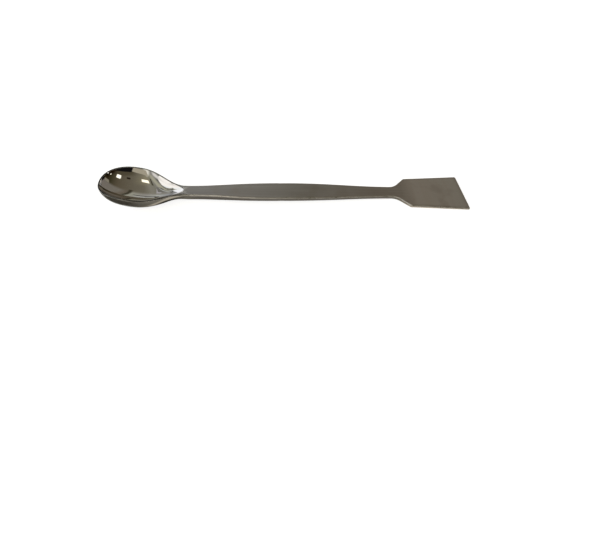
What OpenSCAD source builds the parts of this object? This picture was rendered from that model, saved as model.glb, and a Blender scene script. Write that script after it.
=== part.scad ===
// Double-ended laboratory spatula in stainless steel: a deep oval bowl at one end, a flat flared
// blade at the other, and a slightly swollen handle with rounded edges between them. It is forged
// and pressed from one bar, so it is one solid. It is lofted: each cross-section is a ring of
// points, worked out from the outline, the height and the thickness at its place along the length.
// The bowl points along -X and the blade along +X. The spatula lies as it rests on a table, on the
// underside of its bowl and the end of its blade, with the middle of its footprint at the origin.

/* [Overall] */
// Length over the tip of the bowl and the end of the blade
total_length = 180; // [150:1:230]

/* [Bowl] */
// Length from the tip to the neck
bowl_length = 40; // [36:0.5:48]
// Width over the rim at its widest
bowl_width = 24.6; // [18:0.2:30]
// Distance from the tip to the widest place of the rim
widest_at = 17.3; // [14:0.1:20]
// Roundness of the tip seen from above: 2 is an ellipse, and more is blunter
tip_roundness = 2.3; // [2:0.05:3]
// Depth of the lowest point of the underside below the middle of the neck
bowl_drop = 3.85; // [2.4:0.05:6]
// Distance from the tip to the lowest point
lowest_at = 24; // [20:0.5:27]
// Roundness of the underside from the tip to the lowest point: 2 is an ellipse
floor_roundness = 2.45; // [2:0.05:3]
// Fullness of the outside walls: 2 is an ellipse in section, and more gives steeper walls
wall_fullness = 2.15; // [2:0.05:3.2]
// Angle that the hollow's wall turns through between the floor and the rim, at the widest place
hollow_sweep = 58; // [30:1:75]
// The same angle where the floor rises to the neck
rear_sweep = 12; // [5:1:60]
// The same angle along the middle, between the lowest point and the tip
tip_sweep = 75; // [40:1:85]
// Height of the rim at the tip above the top of the neck
rim_rise = 6; // [3:0.1:9]
// Height of the upright band of wall under the rim
rim_band = 0.8; // [0.4:0.05:1.5]
// Thickness of the wall at the rim
wall = 0.8; // [0.6:0.05:1.2]
// Thickness of the floor
floor_thickness = 0.9; // [0.7:0.05:1.4]
// Rounding along the outside of the rim
rim_radius = 0.25; // [0.1:0.05:0.35]
// Length of the round end of the hollow, where it runs out on the neck
hollow_end_length = 3.6; // [2.5:0.1:5]

/* [Handle] */
// Width of the neck behind the bowl
neck_width = 7.2; // [5.5:0.1:9]
// Thickness of the neck behind the bowl
neck_thickness = 3.1; // [2.4:0.05:4]
// Width of the handle at its widest
grip_width = 11.4; // [8:0.1:14]
// Thickness of the handle at its widest
grip_thickness = 2.1; // [1.6:0.05:3]
// Place of the widest part, as a share of the way from the neck to the waist
grip_place = 0.437; // [0.3:0.001:0.7]
// Width of the waist in front of the blade
waist_width = 7.2; // [5.5:0.1:9]
// Thickness of the waist in front of the blade
waist_thickness = 1.85; // [1.5:0.05:2.6]
// Radius along the edges of the handle
edge_radius = 0.6; // [0.3:0.05:0.7]
// Height of the handle's slight arch
arch_height = 0.5; // [0:0.1:1.5]

/* [Blade] */
// Length from the shoulders to the end
blade_length = 27.9; // [22:0.1:38]
// Width across the shoulders
shoulder_width = 19.8; // [15:0.1:24]
// Width at the end
blade_width = 23.4; // [18:0.1:28]
// Angle between the shoulders and the handle's axis
shoulder_angle = 46; // [38:1:60]
// Reach of the hollow curve from the waist into the shoulders
waist_curve = 2.4; // [1:0.1:3]
// Reach of the round corner at the shoulders
shoulder_curve = 0.5; // [0.3:0.05:1.5]
// Thickness at the root of the blade
root_thickness = 1.45; // [1.2:0.05:1.8]
// Thickness at the end of the blade
end_thickness = 0.9; // [0.6:0.05:1.2]
// Radius of the blade's two corners
corner_radius = 0.8; // [0.3:0.05:2]

/* [Hidden] */
steel = [0.48, 0.46, 0.43];

// Places along the length, counted from the tip of the bowl
handle_start = bowl_length + 4;
shoulder_at = total_length - blade_length;
shoulder_slope = tan(shoulder_angle);
handle_end = shoulder_at - (shoulder_width / 2 - waist_width / 2 + waist_curve) / shoulder_slope;
grip_at = handle_start + grip_place * (handle_end - handle_start);
blade_start = shoulder_at + 3;
rise_start = 2;
rise_end = bowl_length + 2.5;
hollow_end = bowl_length - 0.2;
arch_start = bowl_length - 4;
section_change = 0.65 * bowl_length;
sweep_start = 0.4 * bowl_length;
sweep_end = 0.85 * bowl_length;

// Exponents of the S-curves that lead from the bowl to the neck and along the handle, and of the
// curve by which the floor of the hollow rises to the neck
taper_skew = 1.1;
depth_skew = 1.8;
grip_skew = 1.2;
hollow_rise = 1.6;

// Numbers of steps round half a section: across the hollow, over the edge, down and underneath
hollow_steps = 10;
edge_steps = 3;
flank_steps = 5;
under_steps = 5;

// Numbers of steps along the length of each stretch
tip_steps = 18;
bowl_steps = 26;
neck_steps = 4;
handle_steps = 18;
shoulder_steps = 16;
blade_steps = 3;
corner_steps = 4;
hair = 0.01;

function clamp01(t) = max(0, min(1, t));

// S-curve from 0 at a to 1 at b, level at both ends; a skew above 1 makes it start later
function ease(a, b, x, skew = 1) = (1 - cos(180 * pow(clamp01((x - a) / (b - a)), skew))) / 2;

function mix(a, b, t) = a + (b - a) * t;

// The lesser of two lines, with a round corner of the given reach between them
function round_min(a, b, reach) =
    let (t = clamp01(0.5 + 0.5 * (b - a) / reach)) mix(b, a, t) - reach * t * (1 - t);

// Quarter of a superellipse: how far it has risen at a share of its run, from 0 to 1
function superellipse(share, fullness) =
    pow(max(0, 1 - pow(1 - clamp01(share), fullness)), 1 / fullness);

// Circular arc that turns through the angle sweep, level at the start: how far it has risen at a
// share of its run, from 0 to 1
function arc_rise(share, sweep) =
    (1 - cos(asin(clamp01(share) * sin(sweep)))) / (1 - cos(sweep));

// Half the width of the outline
function bowl_half(x) = x < widest_at
    ? bowl_width / 2 * superellipse(x / widest_at, tip_roundness)
    : mix(bowl_width, neck_width, ease(widest_at, bowl_length, x, taper_skew)) / 2;
function handle_half(x) = x < grip_at
    ? mix(grip_width, neck_width, ease(0, 1, (grip_at - x) / (grip_at - handle_start), grip_skew)) / 2
    : mix(grip_width, waist_width, ease(grip_at, handle_end, x, grip_skew)) / 2;
function shoulder_half(x) = shoulder_width / 2 + (x - shoulder_at) * shoulder_slope;
function blade_half(x) =
    mix(shoulder_width, blade_width, (x - shoulder_at) / blade_length) / 2;
function corner_cut(x) =
    let (past = max(0, x - (total_length - corner_radius)))
    corner_radius - sqrt(max(0, corner_radius * corner_radius - past * past));
function half_width(x) = x < bowl_length ? bowl_half(x)
    : x < grip_at ? handle_half(x)
    : let (flare = -round_min(-handle_half(x), -shoulder_half(x), waist_curve))
        round_min(flare, blade_half(x), shoulder_curve) - corner_cut(x);

// Thickness of the metal, apart from the hollow
function thickness(x) = neck_thickness
    + (grip_thickness - neck_thickness) * ease(handle_start, grip_at, x)
    + (waist_thickness - grip_thickness) * ease(grip_at, handle_end, x)
    + (root_thickness - waist_thickness) * ease(handle_end, blade_start, x)
    + (end_thickness - root_thickness) * clamp01((x - blade_start) / (total_length - blade_start));

// Height of the top face or rim above the middle of the bar
function arch(x) =
    arch_height * (1 - cos(360 * clamp01((x - arch_start) / (shoulder_at - arch_start)))) / 2;
function top_height(x) = arch(x) + thickness(x) / 2 + rim_rise * (1 - ease(rise_start, rise_end, x));

// Height of the underside along the middle, and the depth from the top face or rim down to it
function underside(x) = x < lowest_at
    ? mix(top_height(0) - rim_band, -bowl_drop, superellipse(x / lowest_at, floor_roundness))
    : mix(-bowl_drop, top_height(x) - thickness(x), ease(lowest_at, bowl_length, x, depth_skew));
function depth(x) = top_height(x) - underside(x);

// The hollow follows the outline at one wall's distance, and closes in a round end on the neck. Its
// walls slant out to the rim.
function outline_slope(x) = (half_width(x + hair) - half_width(x)) / hair;
function inward(x) = let (s = outline_slope(x)) x < widest_at ? s / sqrt(1 + s * s) : 0;
function wall_across(x) =
    let (s = outline_slope(x), r = sqrt(1 + s * s)) x < widest_at ? wall / r : wall * r;
function hollow_closing(x) =
    sqrt(1 - pow(clamp01(1 - (hollow_end - x) / hollow_end_length), 2));
function hollow_half(x) = (half_width(x) - wall_across(x)) * hollow_closing(x);
function hollow_floor(x) =
    let (lowest = floor_thickness - bowl_drop, rise = (x - lowest_at) / (hollow_end - lowest_at))
    x < lowest_at
    ? mix(lowest, top_height(wall), arc_rise((lowest_at - x) / (lowest_at - wall), tip_sweep))
    : mix(lowest, top_height(hollow_end), pow(clamp01(rise), hollow_rise));
function hollow_depth(x) = max(0, top_height(x) - hollow_floor(x));
function sweep_here(x) = mix(hollow_sweep, rear_sweep, ease(sweep_start, sweep_end, x));

// Share of the way from a bowl's section to a bar's section with rounded edges
function bar_share(x) = ease(section_change, handle_start, x);
function edge_here(x) =
    mix(rim_radius, min(edge_radius, 0.45 * thickness(x)), bar_share(x));

// Half of the cross-section at x, from the middle of the top to the middle of the underside
function hollow_points(x) =
    let (shifted = x + wall * inward(x), hollow = x < hollow_end,
         reach = hollow ? hollow_half(x) : 0.7 * half_width(x),
         deep = hollow ? hollow_depth(shifted) : 0)
    [for (i = [0:hollow_steps]) let (out = sin(90 * i / hollow_steps))
        [shifted, reach * out, top_height(shifted) - deep * (1 - arc_rise(out, sweep_here(x)))]];
function edge_points(x) =
    let (e = edge_here(x))
    [for (i = [0:edge_steps]) let (a = 90 * i / edge_steps)
        let (in = e * (1 - sin(a)))
        [x + in * inward(x), half_width(x) - in, top_height(x) - e * (1 - cos(a))]];
function bowl_flank(x) =
    let (steps = flank_steps + under_steps, band = min(rim_band, depth(x)), power = 2 / wall_fullness)
    [for (i = [1:steps]) let (a = 90 * i / steps)
        [half_width(x) * pow(max(0, cos(a)), power), band + (depth(x) - band) * pow(sin(a), power)]];
function bar_flank(x) =
    let (e = edge_here(x), w = half_width(x), t = thickness(x))
    concat([for (i = [0:flank_steps - 1]) let (a = 90 * i / (flank_steps - 1))
            [w - e + e * cos(a), t - e + e * sin(a)]],
        [for (i = [1:under_steps]) [(w - e) * (1 - i / under_steps), t]]);
function flank_points(x) =
    let (bowl = bowl_flank(x), bar = bar_flank(x), share = bar_share(x))
    [for (i = [0:len(bowl) - 1]) let (p = mix(bowl[i], bar[i], share)) [x, p[0], top_height(x) - p[1]]];
function half_section(x) = concat(hollow_points(x), edge_points(x), flank_points(x));

// The places of the sections, closer together where the outline turns faster
function spread(a, b, steps) = [for (i = [1:steps]) mix(a, b, i / steps)];
stations = concat(
    [for (i = [0:tip_steps]) widest_at * (1 - cos(90 * i / tip_steps))],
    spread(widest_at, hollow_end - hollow_end_length, bowl_steps - 6),
    [for (i = [1:6]) hollow_end - hollow_end_length * (1 - sin(86 * i / 6))],
    spread(hollow_end, handle_start, neck_steps),
    spread(handle_start, handle_end, handle_steps),
    spread(handle_end, blade_start, shoulder_steps),
    spread(blade_start, total_length - corner_radius, blade_steps),
    [for (i = [1:corner_steps]) total_length - corner_radius * (1 - sin(90 * i / corner_steps))]);

// The rings. The first one is folded flat at the tip: a seam from the inner edge of the rim, round
// its outside and down the upright band, whose points both sides share.
halves = [for (x = stations) half_section(x)];
last = len(halves[0]) - 1;
around = 2 * last;
rings = len(stations);
seam_last = edge_steps + 2;
seam = [for (k = [0:seam_last]) let (p = halves[0][hollow_steps + k]) [p[0], 0, p[2]]];
function mirrored(p) = [p[0], -p[1], p[2]];
points = concat(seam, [for (i = [1:rings - 1], k = [0:around - 1])
    k <= last ? halves[i][k] : mirrored(halves[i][around - k])]);
function point_index(ring, k) = let (m = k % around)
    ring > 0 ? seam_last + 1 + (ring - 1) * around + m
    : max(0, min(seam_last, (m <= last ? m : around - m) - hollow_steps));
// The flat end's loop starts on its rounded corner, because its top and underside are straight runs
corner_start = hollow_steps + edge_steps + 1;
function facets(a, b, c) = (a == b || b == c || a == c) ? [] : [[a, b, c]];
faces = concat(
    [for (i = [0:rings - 2], k = [0:around - 1])
        let (a = point_index(i, k), b = point_index(i, k + 1),
             c = point_index(i + 1, k + 1), d = point_index(i + 1, k))
        each concat(facets(a, b, c), facets(a, c, d))],
    [[for (k = [0:around - 1]) point_index(rings - 1, k + corner_start)]]);

// Resting: the line from the end of the blade that just touches the underside of the bowl is level
blade_rest = halves[rings - 1][last];
rest_tilt = max([for (h = halves) if (h[last][0] < handle_start)
    atan2(blade_rest[2] - h[last][2], blade_rest[0] - h[last][0])]);
function tilted(p) =
    [p[0] * cos(rest_tilt) + p[2] * sin(rest_tilt), p[1], p[2] * cos(rest_tilt) - p[0] * sin(rest_tilt)];
rest_points = [for (p = points) tilted(p)];
rest_x = [for (p = rest_points) p[0]];
rest_z = [for (p = rest_points) p[2]];
middle_x = (min(rest_x) + max(rest_x)) / 2;
table_z = min(rest_z);

module spatula() {
    color(steel)
        translate([-middle_x, 0, -table_z])
            polyhedron(points = rest_points, faces = faces, convexity = 6);
}

spatula();
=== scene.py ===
"""Looks of a double-ended laboratory spatula in stainless steel.

One smooth skin stands for the solid: the same loft, with many more points and softened edges.
Sizes are in millimetres, and places are counted from the tip of the bowl along the bar. The
finished points are turned and moved into the frame, where the spatula rests on the floor.
"""
import math

import bmesh
import bpy
import numpy as np
from mathutils import Matrix, Vector


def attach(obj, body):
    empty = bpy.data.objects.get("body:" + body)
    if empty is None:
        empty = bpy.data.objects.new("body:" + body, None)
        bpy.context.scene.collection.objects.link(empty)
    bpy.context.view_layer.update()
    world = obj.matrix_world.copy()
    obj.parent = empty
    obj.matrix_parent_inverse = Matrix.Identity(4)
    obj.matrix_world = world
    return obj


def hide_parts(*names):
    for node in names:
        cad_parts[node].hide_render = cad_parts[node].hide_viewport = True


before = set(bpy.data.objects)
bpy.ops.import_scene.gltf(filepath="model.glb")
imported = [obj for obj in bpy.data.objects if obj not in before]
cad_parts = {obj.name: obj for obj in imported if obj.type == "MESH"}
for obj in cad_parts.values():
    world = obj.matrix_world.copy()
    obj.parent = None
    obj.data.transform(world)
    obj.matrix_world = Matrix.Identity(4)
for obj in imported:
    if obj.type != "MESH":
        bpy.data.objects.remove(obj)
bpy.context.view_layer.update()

MM = 0.001

# Bowl
BOWL_LENGTH = 40.0
BOWL_WIDTH = 24.6
WIDEST_AT = 17.3
BOWL_DROP = 3.85
LOWEST_AT = 24.0
RIM_RISE = 6.0
RIM_BAND = 0.8
WALL = 0.8
FLOOR_THICKNESS = 0.9
RIM_RADIUS = 0.22
INNER_RIM_RADIUS = 0.12
HOLLOW_END_LENGTH = 6.2

# Handle
NECK_WIDTH = 7.2
NECK_THICKNESS = 3.1
GRIP_WIDTH = 11.4
GRIP_THICKNESS = 2.1
GRIP_PLACE = 0.437
WAIST_WIDTH = 7.2
WAIST_THICKNESS = 1.85
EDGE_RADIUS = 0.6
ARCH_HEIGHT = 0.5

# Blade
TOTAL_LENGTH = 180.0
BLADE_LENGTH = 27.9
SHOULDER_WIDTH = 19.8
BLADE_WIDTH = 23.4
SHOULDER_SLOPE = math.tan(math.radians(46.0))
WAIST_CURVE = 2.4
SHOULDER_CURVE = 0.5
ROOT_THICKNESS = 1.45
END_THICKNESS = 0.9
CORNER_RADIUS = 0.8
END_EDGE = 0.3

# Places along the bar
HANDLE_START = BOWL_LENGTH + 4.0
HOLLOW_END = BOWL_LENGTH - 0.2
APEX_START = HOLLOW_END - HOLLOW_END_LENGTH
RISE_START = 2.0
RISE_END = BOWL_LENGTH + 2.5
ARCH_START = BOWL_LENGTH - 4.0
SECTION_CHANGE = 0.65 * BOWL_LENGTH
SWEEP_CHANGE = (0.4 * BOWL_LENGTH, 0.85 * BOWL_LENGTH)
SHOULDER_AT = TOTAL_LENGTH - BLADE_LENGTH
HANDLE_END = SHOULDER_AT - ((SHOULDER_WIDTH - WAIST_WIDTH) / 2 + WAIST_CURVE) / SHOULDER_SLOPE
GRIP_AT = HANDLE_START + GRIP_PLACE * (HANDLE_END - HANDLE_START)
BLADE_START = SHOULDER_AT + 3.0
CORNER_START = TOTAL_LENGTH - CORNER_RADIUS

# Exponents of the superellipses and S-curves
TIP_ROUNDNESS = 2.3
FLOOR_ROUNDNESS = 2.45
WALL_FULLNESS = 2.15
TAPER_SKEW = 1.1
DEPTH_SKEW = 1.8
GRIP_SKEW = 1.2
HOLLOW_RISE = 1.6
END_RISE = 12.0
END_SHARE = 0.1

# Sweeps of the hollow's arcs, in degrees
HOLLOW_SWEEP = 58.0
REAR_SWEEP = 12.0
TIP_SWEEP = 75.0

# On the neck the closed hollow's points spread over this length, to this share of the width
SPREAD_LENGTH = 3.0
SPREAD_SHARE = 0.7
# Most that a rounding may take of the hollow's depth and of the bar's thickness
MOST_OF_DEPTH = 0.4
MOST_OF_THICKNESS = 0.45
# Step for the outline's slope, and the places at which the underside is tried against the floor
HAIR = 0.01
UNDERSIDE_PLACES = 4001

# Points round half a section. The flank's steps run down the side, round the lower corner and
# along the underside
HOLLOW_POINTS = 30
BEAD_POINTS = 5
RIM_SHARES = np.array([0.12, 0.5, 0.88])
EDGE_POINTS = 9
SIDE_END, CORNER_END = 0.1, 0.5
CORNER_STEPS = np.linspace(SIDE_END, CORNER_END, 15)
FLANK_STEPS = np.concatenate([[0, 0.03, 0.06], CORNER_STEPS, [0.51, 0.53],
                              np.linspace(0.55, 1, 12)])
RIM_FIRST = HOLLOW_POINTS + BEAD_POINTS
EDGE_FIRST = RIM_FIRST + len(RIM_SHARES)
FLANK_FIRST = EDGE_FIRST + EDGE_POINTS

# Cross-sections in each stretch of the bar
TIP_STATIONS = 64
BOWL_STATIONS = 70
APEX_STATIONS = 28
NECK_STATIONS = 24
HANDLE_STATIONS = 80
SHOULDER_STATIONS = 90
BLADE_STATIONS = 16
CORNER_STATIONS = 12
# The hollow's apex is stepped up to this angle in degrees, just short of its end
APEX_TURN = 89.0
# Points closer than this in metres are made one
MERGE_DISTANCE = 1e-7

# Where the polish runs out in the hollow and outside, and the marks near the edges, which carry
# wear and painted shade
POLISH_END_INSIDE = (HOLLOW_END - 0.3, HOLLOW_END + 0.8)
POLISH_END_OUTSIDE = (34.0, 50.0)
BEAD_MARK = 0.7
BEAD_MARK_END = (HOLLOW_END - 1.0, HOLLOW_END)
INSET_START = 0.7
END_INSET = (TOTAL_LENGTH - 2.2, TOTAL_LENGTH - 0.3)
SIDE_FADE = (0.7, 1.0)


# Curves

def share(value, low, high):
    """How far a value lies between low and high, held between 0 and 1."""
    return np.clip((value - low) / (high - low), 0.0, 1.0)


def ease(value, low, high, skew=1.0):
    """S-curve from 0 at low to 1 at high: half of one minus the cosine of the share's power."""
    return (1 - np.cos(np.pi * share(value, low, high) ** skew)) / 2


def mix(a, b, amount):
    """Straight line from a to b."""
    return a + (b - a) * amount


def superellipse(part, fullness):
    """Rise of a quarter superellipse at a share of its run."""
    return np.maximum(0.0, 1 - (1 - np.clip(part, 0, 1)) ** fullness) ** (1 / fullness)


def arc_rise(part, sweep):
    """Rise of an elliptical arc of the given sweep in degrees, at a share of its half width: 0 in
    the middle and 1 at the end."""
    end = np.radians(sweep)
    turned = np.arcsin(np.clip(part, 0, 1) * np.sin(end))
    return (1 - np.cos(turned)) / (1 - np.cos(end))


def round_min(a, b, reach):
    """The lesser of two curves, with a parabola of the given reach at their crossing."""
    amount = np.clip(0.5 + 0.5 * (b - a) / reach, 0, 1)
    return mix(b, a, amount) - reach * amount * (1 - amount)


def quarter(count):
    """Angles in radians at so many even places over a quarter turn, both ends among them."""
    return np.radians(np.linspace(0, 90, count))


# Skin

def half_width(x):
    """Half the outline's width: a superellipse round the tip, an S-curve down to the neck, two
    S-curves along the handle, and straight shoulders and blade edges joined by short curves."""
    front = BOWL_WIDTH / 2 * superellipse(x / WIDEST_AT, TIP_ROUNDNESS)
    rear = mix(BOWL_WIDTH, NECK_WIDTH, ease(x, WIDEST_AT, BOWL_LENGTH, TAPER_SKEW)) / 2
    towards_neck = ease(GRIP_AT - x, 0, GRIP_AT - HANDLE_START, GRIP_SKEW)
    near_handle = mix(GRIP_WIDTH, NECK_WIDTH, towards_neck) / 2
    far_handle = mix(GRIP_WIDTH, WAIST_WIDTH, ease(x, GRIP_AT, HANDLE_END, GRIP_SKEW)) / 2
    shoulder = SHOULDER_WIDTH / 2 + (x - SHOULDER_AT) * SHOULDER_SLOPE
    edge = mix(SHOULDER_WIDTH, BLADE_WIDTH, (x - SHOULDER_AT) / BLADE_LENGTH) / 2
    past = np.maximum(0, x - CORNER_START)
    corner = CORNER_RADIUS - np.sqrt(np.maximum(0, CORNER_RADIUS ** 2 - past ** 2))
    flare = -round_min(-far_handle, -shoulder, WAIST_CURVE)
    blade = round_min(flare, edge, SHOULDER_CURVE) - corner
    pieces = [x < WIDEST_AT, x < BOWL_LENGTH, x < GRIP_AT]
    return np.select(pieces, [front, rear, near_handle], blade)


def thickness(x):
    """Thickness of the bar apart from the hollow: three S-curves, then a straight taper."""
    grip = (GRIP_THICKNESS - NECK_THICKNESS) * ease(x, HANDLE_START, GRIP_AT)
    waist = (WAIST_THICKNESS - GRIP_THICKNESS) * ease(x, GRIP_AT, HANDLE_END)
    root = (ROOT_THICKNESS - WAIST_THICKNESS) * ease(x, HANDLE_END, BLADE_START)
    taper = (END_THICKNESS - ROOT_THICKNESS) * share(x, BLADE_START, TOTAL_LENGTH)
    return NECK_THICKNESS + grip + waist + root + taper


def top_height(x):
    """Height of the rim and the upper face: half the thickness, a slight arch, and the rim's
    rise."""
    arch = ARCH_HEIGHT * (1 - np.cos(2 * np.pi * share(x, ARCH_START, SHOULDER_AT))) / 2
    return arch + thickness(x) / 2 + RIM_RISE * (1 - ease(x, RISE_START, RISE_END))


def depth(x):
    """Depth from the rim or the upper face to the underside: a quarter superellipse from the tip
    down to the lowest point, then an S-curve up to the neck."""
    front = mix(top_height(np.zeros(1)) - RIM_BAND, -BOWL_DROP,
                superellipse(x / LOWEST_AT, FLOOR_ROUNDNESS))
    rear = mix(-BOWL_DROP, top_height(x) - thickness(x),
               ease(x, LOWEST_AT, BOWL_LENGTH, DEPTH_SKEW))
    return top_height(x) - np.where(x < LOWEST_AT, front, rear)


def hollow_depth(x):
    """Depth of the hollow: an elliptical arc from the rim down to the lowest point, then a power
    curve up to its end on the neck, with a little of a steeper power in it for the last lift."""
    lowest = FLOOR_THICKNESS - BOWL_DROP
    run = (x - WALL) / (LOWEST_AT - WALL)
    front = mix(lowest, top_height(np.full(1, WALL)), arc_rise(1 - run, TIP_SWEEP))
    climb = share(x, LOWEST_AT, HOLLOW_END)
    climb = mix(climb ** HOLLOW_RISE, climb ** END_RISE, END_SHARE)
    rear = mix(lowest, top_height(np.full(1, HOLLOW_END)), climb)
    return np.maximum(0, top_height(x) - np.where(x < LOWEST_AT, front, rear))


def end_drop(x):
    """How far the blade's faces fall at its end: a quarter circle on each."""
    past = np.clip(x - (TOTAL_LENGTH - END_EDGE), 0, END_EDGE)
    return END_EDGE - np.sqrt(END_EDGE ** 2 - past ** 2)


def half_ring(x):
    """Half of the cross-sections at the stations x, as three arrays (along, across, up).

    The first index is the station and the second goes round: over the hollow (an elliptical arc,
    flatter towards the neck), round the rim's inner edge, across the rim, round its outer edge
    (quarter circles), down the side and underneath, where a bowl's quarter superellipse turns into
    a bar's rounded rectangle. The hollow's outline is the outer one moved in by the wall: square
    to it round the tip, and straight across behind the widest place, by enough to keep the wall's
    thickness. Near the neck a quarter ellipse closes it."""
    x = x[:, None]
    slope = (half_width(x + HAIR) - half_width(x)) / HAIR
    stretch = np.sqrt(1 + slope ** 2)
    front = x < WIDEST_AT
    inward = np.where(front, slope / stretch, 0.0)
    across = np.where(front, 1 / stretch, stretch)
    width = half_width(x)
    bar = ease(x, SECTION_CHANGE, HANDLE_START)

    closing = np.sqrt(1 - share(x, APEX_START, HOLLOW_END) ** 2)
    spreading = ease(x, HOLLOW_END, HOLLOW_END + SPREAD_LENGTH)
    reach = np.where(x < HOLLOW_END, (width - WALL * across) * closing,
                     SPREAD_SHARE * width * spreading)
    shifted = x + WALL * inward
    deep = np.where(x < HOLLOW_END, hollow_depth(shifted), 0.0)
    bead = np.minimum(INNER_RIM_RADIUS, MOST_OF_DEPTH * deep)
    edge = mix(RIM_RADIUS, np.minimum(EDGE_RADIUS, MOST_OF_THICKNESS * thickness(x)), bar)

    turn = quarter(HOLLOW_POINTS)[None]
    sweep = mix(HOLLOW_SWEEP, REAR_SWEEP, ease(x, *SWEEP_CHANGE))
    hollow = (shifted + 0 * turn, reach * np.sin(turn),
              top_height(shifted) - bead - (deep - bead) * (1 - arc_rise(np.sin(turn), sweep)))

    turn = quarter(BEAD_POINTS + 1)[None, 1:]
    moved = bead * (1 - np.cos(turn))
    along = shifted - moved * inward
    inner_edge = (along, reach + moved * across, top_height(along) - bead * (1 - np.sin(turn)))

    inner = reach + bead * across
    outer = width - edge * across * np.where(front, 1, 1 / stretch)
    along = mix(shifted - bead * inward, x + edge * inward, RIM_SHARES[None])
    rim = (along, mix(inner, outer, RIM_SHARES[None]), top_height(along))

    turn = quarter(EDGE_POINTS)[None]
    moved = edge * (1 - np.sin(turn))
    outer_edge = (x + moved * inward, width - moved * np.where(front, across, 1.0),
                  top_height(x) - edge * (1 - np.cos(turn)))

    steps = FLANK_STEPS[None]
    power = 2 / WALL_FULLNESS
    band = np.minimum(RIM_BAND, depth(x))
    bowl_across = width * np.maximum(0, np.cos(np.pi / 2 * steps)) ** power
    bowl_down = band + (depth(x) - band) * np.sin(np.pi / 2 * steps) ** power
    turn = np.pi / 2 * share(steps, SIDE_END, CORNER_END)
    bar_across = (width - edge) * (1 - share(steps, CORNER_END, 1)) + edge * np.cos(turn)
    bar_down = mix(edge, thickness(x) - edge, share(steps, 0, SIDE_END)) + edge * np.sin(turn)
    flank = (x + 0 * steps, mix(bowl_across, bar_across, bar),
             top_height(x) - mix(bowl_down, bar_down, bar))

    rows = [[np.broadcast_to(values, (len(x), values.shape[1])) for values in block]
            for block in (hollow, inner_edge, rim, outer_edge, flank)]
    along, out, up = [np.concatenate(parts, axis=1) for parts in zip(*rows)]
    middle = top_height(x) - thickness(x) / 2
    return along, out, middle + (up - middle) * (1 - 2 * end_drop(x) / thickness(x))


def stations():
    """Places of the cross-sections, closer together where the outline turns faster: even steps of
    angle round the tip, the hollow's apex and the blade's corners, and even steps of length
    between them."""
    tip = WIDEST_AT * (1 - np.cos(quarter(TIP_STATIONS)))
    apex_turn = np.radians(np.linspace(0, APEX_TURN, APEX_STATIONS)[1:])
    apex = HOLLOW_END - HOLLOW_END_LENGTH * (1 - np.sin(apex_turn))
    corner = TOTAL_LENGTH - CORNER_RADIUS * (1 - np.sin(quarter(CORNER_STATIONS)[1:]))
    return np.concatenate([
        tip,
        np.linspace(WIDEST_AT, APEX_START, BOWL_STATIONS)[1:],
        apex,
        np.linspace(HOLLOW_END, HANDLE_START, NECK_STATIONS)[1:],
        np.linspace(HANDLE_START, HANDLE_END, HANDLE_STATIONS)[1:],
        np.linspace(HANDLE_END, BLADE_START, SHOULDER_STATIONS)[1:],
        np.linspace(BLADE_START, CORNER_START, BLADE_STATIONS)[1:],
        corner])


def tilted(points, tilt):
    """Points turned about the Y axis, so that +X goes down by the tilt in radians."""
    x, y, z = np.moveaxis(points, -1, 0)
    return np.stack([x * math.cos(tilt) + z * math.sin(tilt), y,
                     z * math.cos(tilt) - x * math.sin(tilt)], axis=-1)


def rest(points):
    """Turns and moves points from the bar's own axes into the frame: the underside of the bowl and
    the end of the blade both touch the floor, and the footprint's middle is at the origin. Gives
    the tilt and the move too."""
    x = np.linspace(0.0, HANDLE_START, UNDERSIDE_PLACES)
    under = top_height(x) - depth(x)
    tilt = np.max(np.arctan2(-END_THICKNESS / 2 - under, TOTAL_LENGTH - x))
    turned = tilted(points, tilt)
    low, high = turned.min(axis=0), turned.max(axis=0)
    move = np.array([-(low[0] + high[0]) / 2, 0.0, -low[2]])
    return turned + move, tilt, move


def finish_marks(places, columns):
    """What the finish needs to know at the half sections' points, as arrays from 0 to 1. Polish is
    1 over the bowl and falls by S-curves to 0 behind it, edge is 1 on the rounded edges, where it
    marks wear and, on the bowl, painted shade, side is 1 on the bar's upright sides, and inset
    rises from 0 to 1 just inside a face's edges, where painted shade goes on the blade and on the
    bowl's rim."""
    column = np.arange(columns)[None]
    inside = (column < RIM_FIRST) * (1 - ease(places, *POLISH_END_INSIDE))[:, None]
    outside = (column >= RIM_FIRST) * (1 - ease(places, *POLISH_END_OUTSIDE))[:, None]

    edge = np.zeros((len(places), columns))
    # On the bead round the hollow, the edge mark also brings painted shade onto the polished bowl
    edge[:, HOLLOW_POINTS:EDGE_FIRST] = BEAD_MARK * (1 - ease(places, *BEAD_MARK_END))[:, None]
    edge[:, EDGE_FIRST:FLANK_FIRST] = np.sin(np.linspace(0, math.pi, EDGE_POINTS))
    end_edge = np.sin(np.pi * np.sqrt(share(end_drop(places), 0.0, END_EDGE)))
    edge = np.maximum(edge, end_edge[:, None])

    side = np.zeros((len(places), columns))
    side[:, FLANK_FIRST - 2:FLANK_FIRST] = 1.0
    corner_end = np.searchsorted(FLANK_STEPS, CORNER_END, "right")
    side[:, FLANK_FIRST:] = 1 - share(np.arange(columns - FLANK_FIRST) / corner_end, *SIDE_FADE)

    # Painted shade just inside the edges and at the blade's end
    inset = np.zeros((len(places), columns))
    rising = np.linspace(INSET_START, 1, EDGE_POINTS // 2 + 1)
    inset[:, EDGE_FIRST - 1:EDGE_FIRST - 1 + len(rising)] = rising
    inset = np.maximum(inset, share(places, *END_INSET)[:, None])
    return {"polish": inside + outside, "edge": edge, "side": side, "inset": inset}


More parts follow.
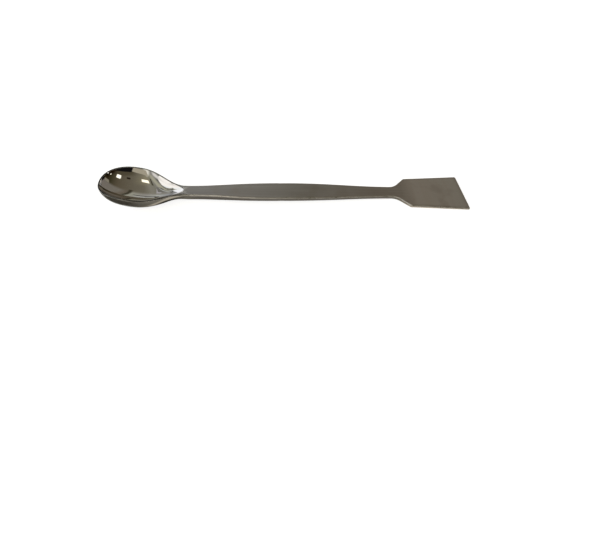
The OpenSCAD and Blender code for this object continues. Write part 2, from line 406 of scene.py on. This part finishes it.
def spatula_mesh():
    """The whole skin: one ring of points per station, the first folded flat at the bowl's tip and
    the last closed by a flat end. The marks for the finish go with it as attributes."""
    places = stations()
    half = np.stack(half_ring(places), axis=2)
    mirrored = half[:, -2:0:-1] * np.array([1, -1, 1])
    rings = np.concatenate([half, mirrored], axis=1)
    rings[0, :, 1] = 0.0
    points, tilt, move = rest(rings.reshape(-1, 3))
    index = np.arange(len(points)).reshape(rings.shape[:2])
    here, there = index[:-1], index[1:]
    quads = np.stack([here, np.roll(here, -1, 1), np.roll(there, -1, 1), there], axis=2)
    faces = quads.reshape(-1, 4).tolist() + [index[-1].tolist()]
    mesh = bpy.data.meshes.new("spatula_skin")
    mesh.from_pydata((points * MM).tolist(), [], faces)
    for name, values in finish_marks(places, half.shape[1]).items():
        both = np.concatenate([values, values[:, -2:0:-1]], axis=1)
        mesh.attributes.new(name, "FLOAT", "POINT").data.foreach_set("value", both.ravel())
    return mesh, tilt, move


def merged(mesh, name):
    """An object from the mesh, with doubled points merged and faces pointing outwards."""
    work = bmesh.new()
    work.from_mesh(mesh)
    bmesh.ops.remove_doubles(work, verts=work.verts, dist=MERGE_DISTANCE)
    bmesh.ops.recalc_face_normals(work, faces=work.faces)
    work.to_mesh(mesh)
    work.free()
    mesh.shade_smooth()
    piece = bpy.data.objects.new(name, mesh)
    bpy.context.collection.objects.link(piece)
    return piece


# Nodes

def wire(tree, value, socket):
    """Links a socket, or sets a plain value."""
    if isinstance(value, bpy.types.NodeSocket):
        tree.links.new(value, socket)
    else:
        socket.default_value = value


def maths(tree, operation, *values):
    """The result of one sum on sockets or numbers."""
    node = tree.nodes.new("ShaderNodeMath")
    node.operation = operation
    for value, socket in zip(values, node.inputs):
        wire(tree, value, socket)
    return node.outputs[0]


def product(tree, first, *others):
    """The product of sockets or numbers."""
    for value in others:
        first = maths(tree, "MULTIPLY", first, value)
    return first


def span(tree, value, low, high, start=0.0, end=1.0, smooth=False):
    """A value mapped from low..high to start..end and held there."""
    node = tree.nodes.new("ShaderNodeMapRange")
    node.interpolation_type = "SMOOTHSTEP" if smooth else "LINEAR"
    for amount, socket in zip((value, low, high, start, end), node.inputs):
        wire(tree, amount, socket)
    return node.outputs[0]


def rise(tree, value, low, high, start=0.0, end=1.0):
    """A smooth step from start to end as the value goes from low to high."""
    return span(tree, value, low, high, start, end, smooth=True)


def fall(tree, value, low, high):
    """A smooth step from 1 to 0 as the value goes from low to high."""
    return rise(tree, value, low, high, 1.0, 0.0)


def blend(tree, amount, a, b):
    """A mix of two colours, on the node's colour sockets."""
    node = tree.nodes.new("ShaderNodeMix")
    node.data_type = "RGBA"
    wire(tree, amount, node.inputs[0])
    wire(tree, a, node.inputs[6])
    wire(tree, b, node.inputs[7])
    return node.outputs[2]


def blend_value(tree, amount, a, b):
    """A mix of two values, on the node's number sockets."""
    node = tree.nodes.new("ShaderNodeMix")
    wire(tree, amount, node.inputs[0])
    wire(tree, a, node.inputs[2])
    wire(tree, b, node.inputs[3])
    return node.outputs[0]


def ramp(tree, value, low, high, stops):
    """A run of colours along a value: each stop is a place between low and high, and its colour."""
    node = tree.nodes.new("ShaderNodeValToRGB")
    elements = node.color_ramp.elements
    while len(elements) < len(stops):
        elements.new(0.5)
    for element, (place, colour) in zip(elements, stops):
        element.position = (place - low) / (high - low)
        element.color = (*colour, 1)
    wire(tree, span(tree, value, low, high), node.inputs[0])
    return node.outputs[0]


def noise(tree, vector, scale, detail=2.0, roughness=0.5):
    """Soft noise from 0 to 1 on a vector."""
    node = tree.nodes.new("ShaderNodeTexNoise")
    wire(tree, vector, node.inputs["Vector"])
    node.inputs["Scale"].default_value = scale
    node.inputs["Detail"].default_value = detail
    node.inputs["Roughness"].default_value = roughness
    return node.outputs["Fac"]


def sides(tree, vector):
    """The three parts of a vector."""
    node = tree.nodes.new("ShaderNodeSeparateXYZ")
    wire(tree, vector, node.inputs[0])
    return node.outputs


def scaled(tree, vector, along, across):
    """A vector multiplied by one number along X and by another across it."""
    factors = tree.nodes.new("ShaderNodeCombineXYZ")
    for value, socket in zip((along, across, across), factors.inputs):
        wire(tree, value, socket)
    node = tree.nodes.new("ShaderNodeVectorMath")
    node.operation = "MULTIPLY"
    wire(tree, vector, node.inputs[0])
    wire(tree, factors.outputs[0], node.inputs[1])
    return node.outputs[0]


def turned(tree, vector, degrees):
    """A vector turned about Z."""
    node = tree.nodes.new("ShaderNodeMapping")
    wire(tree, vector, node.inputs["Vector"])
    node.inputs["Rotation"].default_value = (0.0, 0.0, math.radians(degrees))
    return node.outputs[0]


def bump(tree, height, distance, strength, normal=None):
    """A normal bent by a height that is worth the given distance."""
    node = tree.nodes.new("ShaderNodeBump")
    node.inputs["Strength"].default_value = strength
    node.inputs["Distance"].default_value = distance
    wire(tree, height, node.inputs["Height"])
    if normal is not None:
        wire(tree, normal, node.inputs["Normal"])
    return node.outputs[0]


def mark(tree, name):
    """A value kept at the skin's points."""
    node = tree.nodes.new("ShaderNodeAttribute")
    node.attribute_name = name
    return node.outputs["Fac"]


def group(name, inputs, outputs):
    """An empty shader group: input names with float (f) or vector (v) sockets, and the names of
    its float outputs."""
    kinds = {"f": "NodeSocketFloat", "v": "NodeSocketVector"}
    tree = bpy.data.node_groups.new(name, "ShaderNodeTree")
    for key, kind in inputs:
        tree.interface.new_socket(name=key, in_out="INPUT", socket_type=kinds[kind])
    for key in outputs:
        tree.interface.new_socket(name=key, in_out="OUTPUT", socket_type=kinds["f"])
    given = tree.nodes.new("NodeGroupInput").outputs
    out = tree.nodes.new("NodeGroupOutput").inputs
    return tree, given, out


def placed(tree, source, **values):
    """A group node with its inputs wired."""
    node = tree.nodes.new("ShaderNodeGroup")
    node.node_tree = source
    for key, value in values.items():
        wire(tree, value, node.inputs[key])
    return node.outputs


# Steel

# Noise cells per metre
HANDLE_GRAIN = {"Along": 60.0, "Across": 2600.0}
BLADE_GRAIN = {"Along": 90.0, "Across": 1900.0}
HAIRLINE_CELLS = 1400.0
# Noise cells per metre, and where they differ from the plain noise, its detail and roughness
PATCH_NOISE = (110.0, 3.0, 0.55)
WEAR_NOISE = (260.0, 3.0)
NICK_NOISE = (1500.0,)
SMUDGE_NOISE = (75.0, 4.0, 0.6)
RIPPLE_NOISE = (170.0,)
# The same for the grain, for one cell of it
FINE_NOISE = (1.0, 3.0, 0.65)
BAND_NOISE = (0.25,)
# Noise below and above these counts as 0 and 1
NOISE_RANGE = (0.3, 0.7)

# Direction in degrees and cells along the line for one across it
HAIRLINES = ((8.0, 0.07), (52.0, 0.12), (97.0, 0.1), (143.0, 0.08))
HAIRLINE_WIDTH = (0.004, 0.014)
HAIRLINE_BREAK_CELLS = 0.35
HAIRLINE_BREAKS = (0.5, 0.6)
WEAR_PATCHES = (0.36, 0.6, 0.45, 1.0)
WEAR_EDGE = (0.25, 0.85)
NICKS = (0.66, 0.74)

# The grain turns from along to across between these places along X in millimetres
GRAIN_TURNS = (58.0, 66.0)
# Place along X in millimetres, colour: the steel's own colour with painted reflection in it, darker
# along the handle and lighter on the blade
SATIN_ENDS = (-60.0, 90.0)
SATIN_WITH_PAINTED_REFLECTION = [(-50, (0.40, 0.37, 0.36)), (-25, (0.39, 0.355, 0.34)), (5, (0.39, 0.36, 0.34)),
         (25, (0.47, 0.44, 0.42)), (45, (0.4, 0.35, 0.31)), (59, (0.44, 0.39, 0.34)),
         (66, (0.64, 0.58, 0.52)), (88, (0.62, 0.58, 0.52))]
SATIN_PALE = (0.69, 0.67, 0.63, 1)
SATIN_BROWN = (0.38, 0.33, 0.28, 1)
MIRROR_STEEL = (0.64, 0.61, 0.57, 1)
# Painted shade: a dark reflection on the bowl's rounded rim edges and rim band
RIM_PAINTED_SHADE = (0.22, 0.21, 0.19, 1)
EDGE_STEEL = (0.86, 0.83, 0.79, 1)

# Share of each effect's colour where its mask is full; the inset's and the rim's colours are
# painted shade
BAND_TINT = 0.3
PATCH_TINT = 0.45
INSET_SHADE_TINT = 0.5
WEAR_TINT = 0.85
HAIRLINE_TINT = 0.35
RIM_SHADE_TINT = 0.8
NICK_TINT = 0.5
# Stretch of the mask over which each tint comes in
PATCH_RANGE = (0.5, 0.75)
INSET_SHADE_RANGE = (0.15, 1.0)
RIM_SHADE_RANGE = (0.1, 0.7)
SMUDGE_RANGE = (0.5, 0.72)

SATIN_ROUGHNESS = 0.36
SIDE_ROUGHNESS = 0.14
MIRROR_ROUGHNESS = 0.02
# What the effects add to the roughness or take from it
GRAIN_ROUGHER = 0.04
PATCH_SMOOTHER = 0.025
WEAR_SMOOTHER = 0.07
SMUDGE_ROUGHER = 0.03
HAIRLINE_ROUGHER = 0.05

# Relief in metres and its strength, and the depth of nicks and hairlines for one height of grain
RIPPLE_RELIEF = (2.0e-5, 0.3)
GRAIN_RELIEF = (6.0e-6, 0.5)
NICK_DEPTH = 2.0
HAIRLINE_DEPTH = 0.12


def grain_group():
    """Brushing along X: soft noise drawn out lengthwise, fine in Height and four times as broad in
    Band."""
    inputs = [("Place", "v"), ("Along", "f"), ("Across", "f")]
    tree, given, out = group("brushed_grain", inputs, ["Height", "Band"])
    drawn = scaled(tree, given["Place"], given["Along"], given["Across"])
    wire(tree, noise(tree, drawn, *FINE_NOISE), out["Height"])
    wire(tree, noise(tree, drawn, *BAND_NOISE), out["Band"])
    return tree


def hairline_group():
    """Fine scratches from wiping: for each of four directions, the thin line along which a noise
    drawn out that way passes its middle value, broken up by a second noise."""
    tree, given, out = group("hairlines", [("Place", "v"), ("Fineness", "f")], ["Mask"])
    place = scaled(tree, given["Place"], given["Fineness"], given["Fineness"])
    lines = 0.0
    for degrees, along in HAIRLINES:
        facing = turned(tree, place, degrees)
        field = noise(tree, scaled(tree, facing, along, 1.0), 1.0, 1.0)
        off = maths(tree, "ABSOLUTE", maths(tree, "SUBTRACT", field, 0.5))
        broken = noise(tree, facing, HAIRLINE_BREAK_CELLS)
        line = product(tree, span(tree, off, *HAIRLINE_WIDTH, 1.0, 0.0),
                       span(tree, broken, *HAIRLINE_BREAKS))
        lines = maths(tree, "MAXIMUM", lines, line)
    wire(tree, lines, out["Mask"])
    return tree


def wear_group():
    """Wear on the rounded edges: full on most of an edge, patchy where a noise is low, and nicked
    here and there by a finer one."""
    tree, given, out = group("edge_wear", [("Edge", "f"), ("Place", "v")], ["Bright", "Nick"])
    sharp = rise(tree, given["Edge"], *WEAR_EDGE)
    patchy = span(tree, noise(tree, given["Place"], *WEAR_NOISE), *WEAR_PATCHES)
    wire(tree, product(tree, sharp, patchy), out["Bright"])
    nick = span(tree, noise(tree, given["Place"], *NICK_NOISE), *NICKS)
    wire(tree, product(tree, sharp, nick), out["Nick"])
    return tree


def steel():
    """Stainless steel. The bowl is polished to a mirror, with a faint ripple and hairlines, and
    painted shade on its rim. The
    rest is satin: a fine grain along the handle and across the blade, soft patches from handling,
    colours that change slowly along the bar with painted reflection in them that darkens the handle
    and lightens the blade, painted shade just inside the blade's edges, and smoother, lighter
    edges."""
    material = bpy.data.materials.new("steel")
    material.use_nodes = True
    tree = material.node_tree
    shader = tree.nodes["Principled BSDF"]
    shader.inputs["Metallic"].default_value = 1.0
    place = tree.nodes.new("ShaderNodeTexCoord").outputs["Object"]
    along = maths(tree, "DIVIDE", sides(tree, place)[0], MM)
    polish, edge, side, inset = [mark(tree, name) for name in ("polish", "edge", "side", "inset")]

    grain = grain_group()
    lengthwise = placed(tree, grain, Place=place, **HANDLE_GRAIN)
    crosswise = placed(tree, grain, Place=turned(tree, place, 90.0), **BLADE_GRAIN)
    on_blade = rise(tree, along, *GRAIN_TURNS)
    height = blend_value(tree, on_blade, lengthwise["Height"], crosswise["Height"])
    band = blend_value(tree, on_blade, lengthwise["Band"], crosswise["Band"])
    patches = noise(tree, place, *PATCH_NOISE)
    hairlines = placed(tree, hairline_group(), Place=place, Fineness=HAIRLINE_CELLS)["Mask"]
    wear = placed(tree, wear_group(), Edge=edge, Place=place)

    # Satin
    streak = product(tree, span(tree, band, *NOISE_RANGE), BAND_TINT)
    patch = span(tree, patches, *PATCH_RANGE, 0.0, PATCH_TINT)
    # Painted shade just inside the blade's edges and at its end, standing in for a dark reflection
    # there
    painted_edge_shade = product(tree, rise(tree, inset, *INSET_SHADE_RANGE, 0.0, INSET_SHADE_TINT), on_blade)
    worn = product(tree, wear["Bright"], WEAR_TINT)
    # The steel's own colour, with painted reflection along the bar
    satin = ramp(tree, along, *SATIN_ENDS, SATIN_WITH_PAINTED_REFLECTION)
    for amount, colour in ((streak, SATIN_PALE), (patch, SATIN_BROWN), (painted_edge_shade, SATIN_BROWN),
                           (worn, EDGE_STEEL)):
        satin = blend(tree, amount, satin, colour)
    by_grain = span(tree, height, *NOISE_RANGE,
                    SATIN_ROUGHNESS - GRAIN_ROUGHER, SATIN_ROUGHNESS + GRAIN_ROUGHER)
    by_patch = span(tree, patches, *NOISE_RANGE, PATCH_SMOOTHER, -PATCH_SMOOTHER)
    satin_rough = maths(tree, "SUBTRACT", maths(tree, "ADD", by_grain, by_patch),
                        product(tree, wear["Bright"], WEAR_SMOOTHER))
    satin_rough = blend_value(tree, side, satin_rough, SIDE_ROUGHNESS)

    # Mirror
    # Painted shade on the bowl's rim edges, the bead round the hollow and the rim band, standing in
    # for dark reflections there
    rim = span(tree, maths(tree, "MAXIMUM", edge, inset), *RIM_SHADE_RANGE, 0.0, RIM_SHADE_TINT)
    bright = blend(tree, product(tree, hairlines, HAIRLINE_TINT), MIRROR_STEEL, EDGE_STEEL)
    bright = blend(tree, rim, bright, RIM_PAINTED_SHADE)
    smudge = span(tree, noise(tree, place, *SMUDGE_NOISE), *SMUDGE_RANGE)
    mirror_rough = maths(tree, "ADD", product(tree, smudge, SMUDGE_ROUGHER),
                         product(tree, hairlines, HAIRLINE_ROUGHER))
    mirror_rough = maths(tree, "ADD", mirror_rough, MIRROR_ROUGHNESS)

    colour = blend(tree, polish, satin, bright)
    colour = blend(tree, product(tree, wear["Nick"], NICK_TINT), colour, SATIN_BROWN)
    wire(tree, colour, shader.inputs["Base Color"])
    wire(tree, blend_value(tree, polish, satin_rough, mirror_rough), shader.inputs["Roughness"])

    relief = product(tree, height, maths(tree, "SUBTRACT", 1.0, polish))
    for cut, deep in ((wear["Nick"], NICK_DEPTH), (hairlines, HAIRLINE_DEPTH)):
        relief = maths(tree, "SUBTRACT", relief, product(tree, cut, deep))
    normal = bump(tree, noise(tree, place, *RIPPLE_NOISE), *RIPPLE_RELIEF)
    wire(tree, bump(tree, relief, *GRAIN_RELIEF, normal), shader.inputs["Normal"])
    return material


mesh, REST_TILT, REST_MOVE = spatula_mesh()
spatula = merged(mesh, "spatula_steel")
spatula.data.materials.append(steel())
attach(spatula, "root")
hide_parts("spatula")


# Studio. U and V are degrees from overhead, towards +X and +Y

CARD_SHAPE = ("Centre U", "Centre V", "Half U", "Half V", "Lean", "Tilt", "Soft")
# Rounding of a card's corners, in soft widths
CARD_ROUNDING = 2.5
# Name: centre U, centre V, half U, half V, lean, tilt, softness, light
CARDS = {
    "left_ceiling": (-44.3, -26, 6, 22.2, -0.29, -0.37, 3.9, (0.73, 0.73, 0.59)),
    "lamp_glow": (-15.1, -38.7, 11, 17.5, 0.26, 0.08, 11.5, (0.48, 0.44, 0.3)),
    "right_shade": (23.6, -54, 23.5, 14.6, 0.34, 0.45, 6.2, (0.15, 0.13, 0.084)),
    "far_frame": (-10, 42.9, 11.3, 1.8, -0.03, 0.03, 0.8, (0.019, 0.019, 0.017)),
    "far_picture": (-29, 53.9, 5.1, 10.8, -0.32, -0.33, 0.8, (0.012, 0.012, 0.011)),
    "far_light": (-6.7, 48.5, 6.1, 0.8, -0.14, -0.05, 0.8, (1.3, 1.4, 1.4)),
    "corner_shade": (8.9, 39.4, 2.5, 23, -0.02, 0, 1.8, (0.091, 0.083, 0.055)),
    "left_post": (-29.6, -31.1, 1.9, 10.4, 0.18, -0.02, 0.8, (0.11, 0.11, 0.07)),
    "ceiling_seam": (-33.1, 3.7, 4.7, 13.5, 0.25, -0.06, 1, (0.74, 0.73, 0.78)),
    "ceiling_seam_dark": (-38.3, -4.4, 5.8, 11.7, 0.15, -0.01, 0.8, (0.31, 0.31, 0.29)),
    "window_seam": (-44.3, 4.5, 0.6, 17.5, -0.23, -0.04, 0.8, (1.3, 1.4, 1.4)),
    "window_seam_dark": (-47.3, -2.3, 0.7, 21.8, 0.17, 0.15, 0.8, (0.18, 0.19, 0.19)),
    "window_post": (-43.8, 47.6, 0.9, 16.4, -0.1, 0, 1.3, (0.35, 0.36, 0.35)),
    "side_window": (-68.1, 29.2, 20.4, 28.8, 0, -0.39, 0.8, (1.9, 2, 2.2)),
    "low_window": (-62.2, -31.6, 7.8, 7.7, 0.34, -0.05, 0.9, (2, 2, 2)),
    "middle_window": (-58.5, -10, 6, 15, 0, 0, 1, (1.8, 1.9, 2)),
    "low_board": (-54.1, -43.7, 8.7, 5.7, 0.09, -0.91, 3.9, (1.4, 1.4, 1.4)),
    "low_wall": (-28.1, -63.4, 8.9, 13, -0.27, 0.49, 5.7, (1.5, 1.5, 1.4)),
    "low_beige": (-12.1, -63.3, 14.9, 7.9, -0.07, -0.45, 0.8, (0.73, 0.68, 0.55)),
    "black_screen": (13.8, -75.2, 17.9, 17.7, 0.53, 0.19, 0.8, (0.013, 0.012, 0.013)),
    "dark_floor": (57.2, -40.9, 15.5, 19.8, 0.19, 0.84, 9.4, (0.023, 0.011, 0.0052)),
    "dark_side": (73.2, -10.8, 9.8, 13.1, -0.16, -0.12, 5.7, (0.011, 0.0072, 0.0028)),
    "black_door": (73.6, 46.7, 7, 27.5, -0.08, -0.04, 0.8, (0.0044, 0.0043, 0.0036)),
    "black_corner": (58, 76, 10, 10, 0, -0.5, 0.8, (0.004, 0.004, 0.004)),
    "right_board": (60.5, 25, 8, 8.4, -0.32, 0.31, 1.1, (0.44, 0.41, 0.33)),
    "left_box": (-13.6, -32.7, 8.7, 5, 0.07, -0.2, 0.9, (2.8, 2.7, 2.3)),
    "right_box": (33.4, -30.3, 4.7, 8.2, 0.17, 0.01, 1.4, (3, 3, 2.7)),
    "third_box": (57.1, -24.7, 1.4, 3.7, 0.29, 0.03, 0.8, (3, 3, 2.7)),
    "fourth_box": (73.5, -22.7, 5.1, 3.2, 0.01, -0.03, 0.8, (3, 3, 3)),
    "lens": (13.7, -34.5, 3, 3.5, 0.14, 0.09, 0.8, (0.035, 0.023, 0.012)),
}

# Place in U, colour
SKY_ENDS = (-90.0, 90.0)
CEILING = [(-60, (0.084, 0.092, 0.066)), (-42, (0.49, 0.49, 0.47)), (-30, (0.38, 0.38, 0.32)),
           (-18, (0.43, 0.42, 0.36)), (-6, (0.29, 0.27, 0.21)), (34, (0.19, 0.16, 0.11)),
           (50, (0.086, 0.077, 0.042)), (62, (0.049, 0.036, 0.014))]
FAR_WALL = [(-44, (0.5, 0.53, 0.61)), (-28, (0.89, 0.94, 0.92)), (-10, (0.55, 0.55, 0.53)),
            (5, (0.6, 0.61, 0.52)), (13, (0.26, 0.22, 0.17)), (22, (0.34, 0.32, 0.28)),
            (60, (0.33, 0.3, 0.27))]
# From one U to another, the V at which the far wall starts, and half the width of its soft edge
WALL_FOOT = (12.3, 60.2, 27.1, 30.3)
WALL_EDGE = (-7.8, 12.0, 11.7, 8.6)
# Degrees from overhead over which the horizon comes in
HORIZON = (86.0, 90.0)
HORIZON_LIGHT = (0.6, 0.6, 0.6, 1)
STUDIO_LEVEL = 0.72
# Keeps the sum for U and V finite straight overhead
LEAST_RADIUS = 1e-5


def card_group():
    """A soft-edged slanting card on the sky. Lean is the shift in U per degree of V and Tilt the
    shift in V per degree of U."""
    inputs = [(key, "f") for key in ("U", "V", *CARD_SHAPE)]
    tree, given, out = group("studio_card", inputs, ["Mask"])
    du = maths(tree, "SUBTRACT", given["U"], given["Centre U"])
    dv = maths(tree, "SUBTRACT", given["V"], given["Centre V"])
    a = maths(tree, "SUBTRACT", du, product(tree, dv, given["Lean"]))
    b = maths(tree, "SUBTRACT", dv, product(tree, du, given["Tilt"]))
    a = maths(tree, "SUBTRACT", maths(tree, "ABSOLUTE", a), given["Half U"])
    b = maths(tree, "SUBTRACT", maths(tree, "ABSOLUTE", b), given["Half V"])
    past = maths(tree, "SMOOTH_MAX", a, b, product(tree, given["Soft"], CARD_ROUNDING))
    within = product(tree, given["Soft"], -1.0)
    wire(tree, rise(tree, past, given["Soft"], within), out["Mask"])
    return tree


def studio():
    """The room round the table: a brown ceiling, a paler far wall, windows at the left, soft boxes,
    and a pale horizon. The camera sees plain white."""
    world = bpy.data.worlds.new("studio")
    world.use_nodes = True
    tree = world.node_tree
    background = tree.nodes["Background"]
    x, y, z = sides(tree, tree.nodes.new("ShaderNodeTexCoord").outputs["Generated"])
    angle = maths(tree, "DEGREES", maths(tree, "ARCCOSINE", z))
    radius = maths(tree, "SQRT", maths(tree, "ADD", product(tree, x, x), product(tree, y, y)))
    stretch = maths(tree, "DIVIDE", angle, maths(tree, "MAXIMUM", LEAST_RADIUS, radius))
    u, v = product(tree, stretch, x), product(tree, stretch, y)

    ceiling = ramp(tree, u, *SKY_ENDS, CEILING)
    wall = ramp(tree, u, *SKY_ENDS, FAR_WALL)
    above = maths(tree, "SUBTRACT", v, span(tree, u, *WALL_FOOT))
    edge = span(tree, u, *WALL_EDGE)
    light = blend(tree, rise(tree, above, product(tree, edge, -1.0), edge), ceiling, wall)
    card = card_group()
    for *shape, colour in CARDS.values():
        mask = placed(tree, card, U=u, V=v, **dict(zip(CARD_SHAPE, shape)))["Mask"]
        light = blend(tree, mask, light, (*colour, 1))
    light = blend(tree, rise(tree, angle, *HORIZON), light, HORIZON_LIGHT)
    seen = tree.nodes.new("ShaderNodeLightPath").outputs["Is Camera Ray"]
    light = blend(tree, seen, light, (1 / STUDIO_LEVEL, 1 / STUDIO_LEVEL, 1 / STUDIO_LEVEL, 1))
    wire(tree, light, background.inputs["Color"])
    background.inputs["Strength"].default_value = STUDIO_LEVEL
    return world


# Floor. Places are millimetres along X, or aside from the X axis

# Half the floor's side, in metres
FLOOR_HALF = 3.0
FLOOR_WHITE = (0.8, 0.8, 0.79, 1)
FLOOR_SHADE = (0.2, 0.19, 0.17, 1)
GLOW_WHITE = (1, 1, 1, 1)
GLOW_WARM = (1.0, 0.93, 0.8, 1)
# Light that the floor adds for the camera and for the steel
FLOOR_LIFT = 0.85
STEEL_LIFT = 0.36

# The steel sees a light floor well aside of the bar, less so beside the bowl's tip
SIDE_START = (22.0, 36.0)
TIP_DIMS = (-75.0, -55.0, 0.35, 1.0)
# The blade sees it everywhere, but fainter
BLADE_SEES = (52.0, 62.0, 0.0, 0.6)
# A light strip lies close along each side of the handle: where it starts, what the middle of the
# bar adds to that, where it reaches to, and where it comes in along the bar
STRIP_START = (8.1, 9.4)
STRIP_SWELL = (5.0, 45.0, 2.2, 0.0)
STRIP_REACH = (-48.0, -36.0, 10.5, 17.0)
STRIP_COMES = (-68.0, -64.0)
SOFT_EDGE = 2.0

# Painted shade on the floor beside the bowl, seen only in the steel: how it ends along the bar and
# aside, and how close it comes
BOWL_SHADE_ENDS = (-79.0, -58.0)
BOWL_SHADE_ASIDE = (20.0, 30.0)
BOWL_SHADE_CLOSE = (-90.0, -80.0, 6.0, 10.5)
# Painted shade on the floor under the neck, seen only in the steel: how it starts and ends along
# the bar, and how it ends aside
NECK_SHADE_STARTS = (-64.0, -60.0)
NECK_SHADE_ENDS = (-54.0, -50.0)
NECK_SHADE_ASIDE = (7.5, 9.0)


def lit_floor(tree, x, aside):
    """How strongly the floor lights the steel: the greatest of the light aside, the strip along the
    handle and the light round the blade."""
    wide = product(tree, rise(tree, aside, *SIDE_START), rise(tree, x, *TIP_DIMS))
    swell = rise(tree, maths(tree, "ABSOLUTE", x), *STRIP_SWELL)
    past = maths(tree, "SUBTRACT", aside, swell)
    reach = rise(tree, x, *STRIP_REACH)
    strip = product(tree, rise(tree, past, *STRIP_START),
                    fall(tree, past, reach, maths(tree, "ADD", reach, SOFT_EDGE)),
                    span(tree, x, *STRIP_COMES))
    blade = rise(tree, x, *BLADE_SEES)
    return maths(tree, "MAXIMUM", maths(tree, "MAXIMUM", wide, strip), blade)


def dark_floor(tree, x, aside):
    """How dark the floor is to the steel: the greater of the shade beside the bowl and the shade
    under the neck."""
    close = span(tree, x, *BOWL_SHADE_CLOSE)
    bowl = product(tree, span(tree, x, *BOWL_SHADE_ENDS, 1.0, 0.0),
                   fall(tree, aside, *BOWL_SHADE_ASIDE),
                   rise(tree, aside, close, maths(tree, "ADD", close, SOFT_EDGE)))
    neck = product(tree, span(tree, x, *NECK_SHADE_STARTS), fall(tree, x, *NECK_SHADE_ENDS),
                   fall(tree, aside, *NECK_SHADE_ASIDE))
    return maths(tree, "MAXIMUM", bowl, neck)


def table():
    """A matt white floor, which keeps the shadow that falls on it. It is white to the camera. To
    the steel it has painted shade beside the bowl and under the neck, and a pale, warm painted glow
    further out."""
    mesh = bpy.data.meshes.new("floor")
    corners = [(a * FLOOR_HALF, b * FLOOR_HALF, 0) for a, b in ((-1, -1), (1, -1), (1, 1), (-1, 1))]
    mesh.from_pydata(corners, [], [(0, 1, 2, 3)])
    material = bpy.data.materials.new("floor_white")
    material.use_nodes = True
    tree = material.node_tree
    shader = tree.nodes["Principled BSDF"]
    shader.inputs["Roughness"].default_value = 1.0
    shader.inputs["Specular IOR Level"].default_value = 0.0
    place = tree.nodes.new("ShaderNodeTexCoord").outputs["Object"]
    x, y = [maths(tree, "DIVIDE", part, MM) for part in sides(tree, place)[:2]]
    aside = maths(tree, "ABSOLUTE", y)
    path = tree.nodes.new("ShaderNodeLightPath").outputs
    to_camera = path["Is Camera Ray"]
    to_steel = maths(tree, "ADD", path["Is Glossy Ray"], path["Is Transmission Ray"])

    shade = product(tree, to_steel, dark_floor(tree, x, aside))
    wire(tree, blend(tree, shade, FLOOR_WHITE, FLOOR_SHADE), shader.inputs["Base Color"])
    lift = maths(tree, "ADD", product(tree, to_camera, FLOOR_LIFT),
                 product(tree, to_steel, lit_floor(tree, x, aside), STEEL_LIFT))
    glow = blend(tree, to_camera, GLOW_WARM, GLOW_WHITE)
    wire(tree, glow, shader.inputs["Emission Color"])
    wire(tree, lift, shader.inputs["Emission Strength"])
    mesh.materials.append(material)
    floor = bpy.data.objects.new("floor", mesh)
    bpy.context.collection.objects.link(floor)


bpy.context.scene.world = studio()
table()


# Camera. Its place and turns are given beside the bar's own axes, and it is laid down with the bar

CAMERA_PLACE = (83.745, -124.0, 111.64)
CAMERA_PITCH = 34.83
CAMERA_ROLL = 0.053
FILM_WIDTH = 36.0
FOCAL_LENGTH = 19.686
CAMERA_SHIFT = 0.0395
NEAREST, FARTHEST = 0.01, 20.0


def look():
    """The camera, in line with the bar's tilt."""
    data = bpy.data.cameras.new("camera")
    data.sensor_width = FILM_WIDTH
    data.lens = FOCAL_LENGTH
    data.shift_x = CAMERA_SHIFT
    data.clip_start, data.clip_end = NEAREST, FARTHEST
    camera = bpy.data.objects.new("camera", data)
    bpy.context.collection.objects.link(camera)
    place = Vector(tilted(np.array(CAMERA_PLACE), REST_TILT) + REST_MOVE) * MM
    camera.matrix_world = (Matrix.Translation(place) @ Matrix.Rotation(REST_TILT, 4, "Y")
                           @ Matrix.Rotation(math.radians(CAMERA_PITCH), 4, "X")
                           @ Matrix.Rotation(math.radians(CAMERA_ROLL), 4, "Z"))
    return camera


bpy.context.scene.camera = look()

bpy.context.scene.view_settings.view_transform = "Standard"
